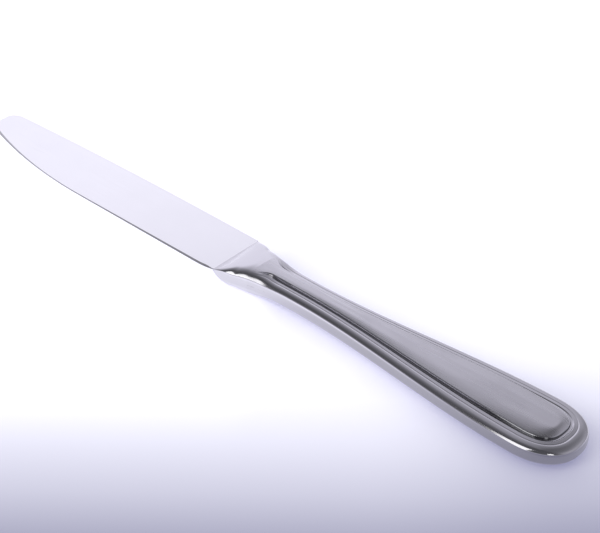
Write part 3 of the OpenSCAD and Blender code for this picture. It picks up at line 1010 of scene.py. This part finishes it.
class KNIFE_OT_inside(Operator):
    """Gives the solder and the cement inside the handle their finishes"""

    bl_idname = "knife.inside"
    bl_label = "Solder and cement"

    def execute(self, context):
        finish = context.scene.knife_finish
        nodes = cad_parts
        solder = inner_material("solder", finish.solder_tint, metallic=1.0, rough=0.35, scale=900.0)
        cement = inner_material("cement", finish.cement_tint, metallic=0.0, rough=0.8, scale=1400.0)
        give_materials(nodes["seam_solder"], solder)
        give_materials(nodes["handle_cement"], cement)
        return {"FINISHED"}


# Camera: its place in metres, its turns in degrees, and the turn of its heading from the x axis
CAMERA_PLACE = (0.200737, -0.195865, 0.196685)
CAMERA_TURN = (55.18626, -0.75789, 42.85043)
BACK_TURN = 132.3
SENSOR_W = 36.0
NEAR_CLIP = 0.01


def heading(turn, height=0.0):
    """Direction at this turn to the left of the camera's own heading, and this height above the horizon"""
    a = math.radians(BACK_TURN + turn)
    e = math.radians(height)
    return Vector((math.cos(a) * math.cos(e), math.sin(a) * math.cos(e), math.sin(e)))


def rays(tree):
    """Two tests, each 1 or 0: for rays from the eye, and for rays off polished steel"""
    ray = node(tree, "ShaderNodeLightPath").outputs
    mirror = math_node(tree, "MAXIMUM", ray["Is Glossy Ray"], ray["Is Transmission Ray"])
    return ray["Is Camera Ray"], mirror


class KNIFE_OT_stage(Operator):
    """Sets up the floor, the light and the camera"""

    bl_idname = "knife.stage"
    bl_label = "Stage"

    FLOOR_SIZE = 6.0
    FLOOR_Z = -0.05 * MM
    FLOOR_ROUGH = 0.9
    # Painted shade on the floor, darker towards the camera: place along the camera's heading, and the share
    FLOOR_DIM = ((-0.094, 0.31), (-0.0809, 0.53), (-0.0655, 0.74), (-0.05, 0.94), (-0.038, 1.0))
    # Shade of the near floor: its strength, where it grows to the right and where it ends behind
    SHADE = 0.2
    SHADE_RIGHT = (0.03, 0.08)
    SHADE_BACK = (-0.06, -0.02)
    # Painted light on the paper round the blade, a glow that hides the blade's shadow: its direction, where
    # it grows that way and where it starts behind
    GLOW_TURN = 85.0
    GLOW_LEFT = (-0.014, -0.002)
    GLOW_BACK = (-0.07, -0.02)
    # Brightness of the surround by height: sine of the height above the horizon, and the share
    SURROUND = (
        (0.0, 0.95), (0.5, 0.98), (0.575, 0.95), (0.64, 0.74),
        (0.71, 0.6), (0.82, 0.38), (0.91, 0.24), (0.98, 0.14),
    )
    # Brightness of the surround by direction: cosine of the turn from the bright side, and the share
    BRIGHT_TURN = 8.0
    BRIGHT_SIDE = (
        (-1.0, 0.0), (0.1, 0.0), (0.34, 0.04), (0.7, 0.3),
        (0.88, 0.52), (0.934, 0.68), (0.956, 0.9), (0.985, 1.03),
    )
    # Weaker light to the right: its direction and the cosines between which it grows; top of the low light
    RIGHT_TURN = -100.0
    RIGHT_SIDE = (0.45, 0.95)
    LOW_TOP = 0.34
    # Key light and softboxes: turn and height of each, and the width and height of each softbox
    SUN_WAY = (140.0, 35.0)
    SUN_ANGLE = 50.0
    BOX_AWAY = 0.8
    SOFTBOXES = {
        "softbox": ((132.0, 30.0), (0.4, 0.75)),
        "small_softbox": ((-168.0, 24.0), (0.16, 0.28)),
    }

    def execute(self, context):
        look = context.scene.knife_stage
        context.scene.view_settings.view_transform = "Standard"
        self.floor(look)
        self.surround(context.scene, look)
        self.lamps(look)
        self.camera(context.scene, look)
        return {"FINISHED"}

    def floor(self, look):
        """Pale floor with painted shade that darkens it towards the camera and on the near right, a painted
        glow round the blade, and a glow to the eye and in reflections
        """
        plane = bpy.ops.mesh.primitive_plane_add
        floor = add(plane, "floor", size=self.FLOOR_SIZE, location=(0, 0, self.FLOOR_Z))
        material, tree, shader = new_material("floor_paper")
        place = object_place(tree)
        back = along_way(tree, place, heading(0.0))
        right = along_way(tree, place, heading(-90.0))
        left = along_way(tree, place, heading(self.GLOW_TURN))
        shade = spread(tree, right, *self.SHADE_RIGHT, 0.0, self.SHADE)
        shade = times(tree, shade, spread(tree, back, *self.SHADE_BACK, 1.0, 0.0))
        # Painted shade: the floor's colour darkens towards the camera and on the near right
        dim = ramp(tree, back, self.FLOOR_DIM[0][0], self.FLOOR_DIM)
        dim = times(tree, dim, math_node(tree, "SUBTRACT", 1.0, shade))
        tree.links.new(dimmed(tree, tuple(look.floor_tint), dim), shader.inputs["Base Color"])
        shader.inputs["Roughness"].default_value = self.FLOOR_ROUGH
        shader.inputs["Specular IOR Level"].default_value = 0.0
        seen = math_node(tree, "MAXIMUM", *rays(tree))
        # Painted light: a glow on the paper round the blade
        far = spread(tree, left, *self.GLOW_LEFT, 0.0, look.back_glow)
        far = times(tree, far, spread(tree, back, *self.GLOW_BACK))
        lit = brighter(tree, tuple(look.paper_glow), far)
        glow = node(tree, "ShaderNodeEmission", {"Color": lit, "Strength": seen})
        both = node(tree, "ShaderNodeAddShader", {0: shader.outputs["BSDF"], 1: glow.outputs["Emission"]})
        output = tree.nodes["Material Output"]
        tree.links.new(both.outputs["Shader"], output.inputs["Surface"])
        floor.data.materials.append(material)

    def sweep(self, tree, look):
        """Brightness of the surround in reflections: a bright side, a weaker right side and a low ring"""
        direction = node(tree, "ShaderNodeTexCoord").outputs["Generated"]
        parts = node(tree, "ShaderNodeSeparateXYZ", {"Vector": direction}).outputs
        flat = node(tree, "ShaderNodeCombineXYZ", {"X": parts["X"], "Y": parts["Y"]}).outputs["Vector"]
        level = node(tree, "ShaderNodeVectorMath", {0: flat}, operation="NORMALIZE").outputs["Vector"]
        by_height = ramp(tree, parts["Z"], 0.0, self.SURROUND)
        by_side = ramp(tree, along_way(tree, level, heading(self.BRIGHT_TURN)), -1.0, self.BRIGHT_SIDE)
        right = along_way(tree, level, heading(self.RIGHT_TURN))
        weaker = spread(tree, right, *self.RIGHT_SIDE, 0.0, look.side_light)
        high = times(tree, by_height, math_node(tree, "ADD", by_side, weaker))
        low = spread(tree, parts["Z"], 0.0, self.LOW_TOP, look.low_light, 0.0)
        return math_node(tree, "MAXIMUM", high, low)

    def surround(self, scene, look):
        """Surround: white to the eye, a bright sweep for reflections, and even light for the floor"""
        world = bpy.data.worlds.new("studio")
        scene.world = world
        world.use_nodes = True
        tree = world.node_tree
        tree.nodes.clear()
        eye, mirror = rays(tree)
        glow = dimmed(tree, tuple(look.sky_tint), self.sweep(tree, look))
        seen = brighter(tree, glow, tuple(look.dark_tint))
        reflected = node(tree, "ShaderNodeBackground", {"Color": seen}).outputs["Background"]
        fill = node(tree, "ShaderNodeBackground", {"Color": opaque(look.fill_tint)}).outputs["Background"]
        white = node(tree, "ShaderNodeBackground", {"Color": opaque((1.0, 1.0, 1.0))}).outputs["Background"]
        lit = node(tree, "ShaderNodeMixShader", {0: mirror, 1: fill, 2: reflected}).outputs["Shader"]
        shown = node(tree, "ShaderNodeMixShader", {0: eye, 1: lit, 2: white})
        output = node(tree, "ShaderNodeOutputWorld")
        tree.links.new(shown.outputs["Shader"], output.inputs["Surface"])

    def lamps(self, look):
        """Soft key light for the floor, and softboxes that the polished rims reflect"""
        sun = add(bpy.ops.object.light_add, "key_light", type="SUN")
        sun.data.energy = look.sun
        sun.data.angle = math.radians(self.SUN_ANGLE)
        sun.rotation_euler = heading(*self.SUN_WAY).to_track_quat("Z", "Y").to_euler()
        sun.visible_glossy = False
        for name, (way, size) in self.SOFTBOXES.items():
            self.softbox(name, heading(*way), size, look.box_light)

    def softbox(self, name, away, size, bright):
        """Softbox in a direction, of a width and a height, and of a brightness"""
        box = add(bpy.ops.object.light_add, name, type="AREA", location=away * self.BOX_AWAY)
        box.data.shape = "RECTANGLE"
        box.data.size, box.data.size_y = size
        box.data.energy = bright * math.pi * size[0] * size[1]
        box.rotation_euler = away.to_track_quat("Z", "Y").to_euler()

    def camera(self, scene, look):
        """Camera at the photograph's viewing angle"""
        turn = [math.radians(a) for a in CAMERA_TURN]
        camera = add(bpy.ops.object.camera_add, "Camera", location=CAMERA_PLACE, rotation=turn)
        camera.data.sensor_width = SENSOR_W
        camera.data.lens = look.lens
        camera.data.clip_start = NEAR_CLIP
        scene.camera = camera


class KNIFE_PT_panel(Panel):
    """Lists the sizes and the steps"""

    bl_idname = "KNIFE_PT_panel"
    bl_label = "Dessert knife"
    bl_space_type = "VIEW_3D"
    bl_region_type = "UI"
    bl_category = "Knife"

    def draw(self, context):
        layout = self.layout
        for operator in OPERATORS:
            layout.operator(operator.bl_idname)
        for name, group in GROUPS.items():
            box = layout.box()
            box.label(text=group.__doc__)
            for prop in group.__annotations__:
                box.prop(getattr(context.scene, name), prop)


GROUPS = {
    "knife_blade": BladeSizes,
    "knife_handle": HandleSizes,
    "knife_finish": Finishes,
    "knife_stage": StageLook,
}
OPERATORS = (KNIFE_OT_blade, KNIFE_OT_shells, KNIFE_OT_inside, KNIFE_OT_stage)
CLASSES = (*GROUPS.values(), *OPERATORS, KNIFE_PT_panel)


def register():
    """Registers the classes and hangs the property groups on the scene"""
    for cls in CLASSES:
        bpy.utils.register_class(cls)
    for name, group in GROUPS.items():
        setattr(bpy.types.Scene, name, PointerProperty(type=group))


def unregister():
    """Takes back what register made"""
    for name in GROUPS:
        delattr(bpy.types.Scene, name)
    for cls in reversed(CLASSES):
        bpy.utils.unregister_class(cls)


def main():
    """Builds the pieces and the stage"""
    register()
    bpy.ops.knife.blade()
    bpy.ops.knife.shells()
    bpy.ops.knife.inside()
    bpy.ops.knife.stage()
    deselect()


if __name__ == "__main__":
    main()
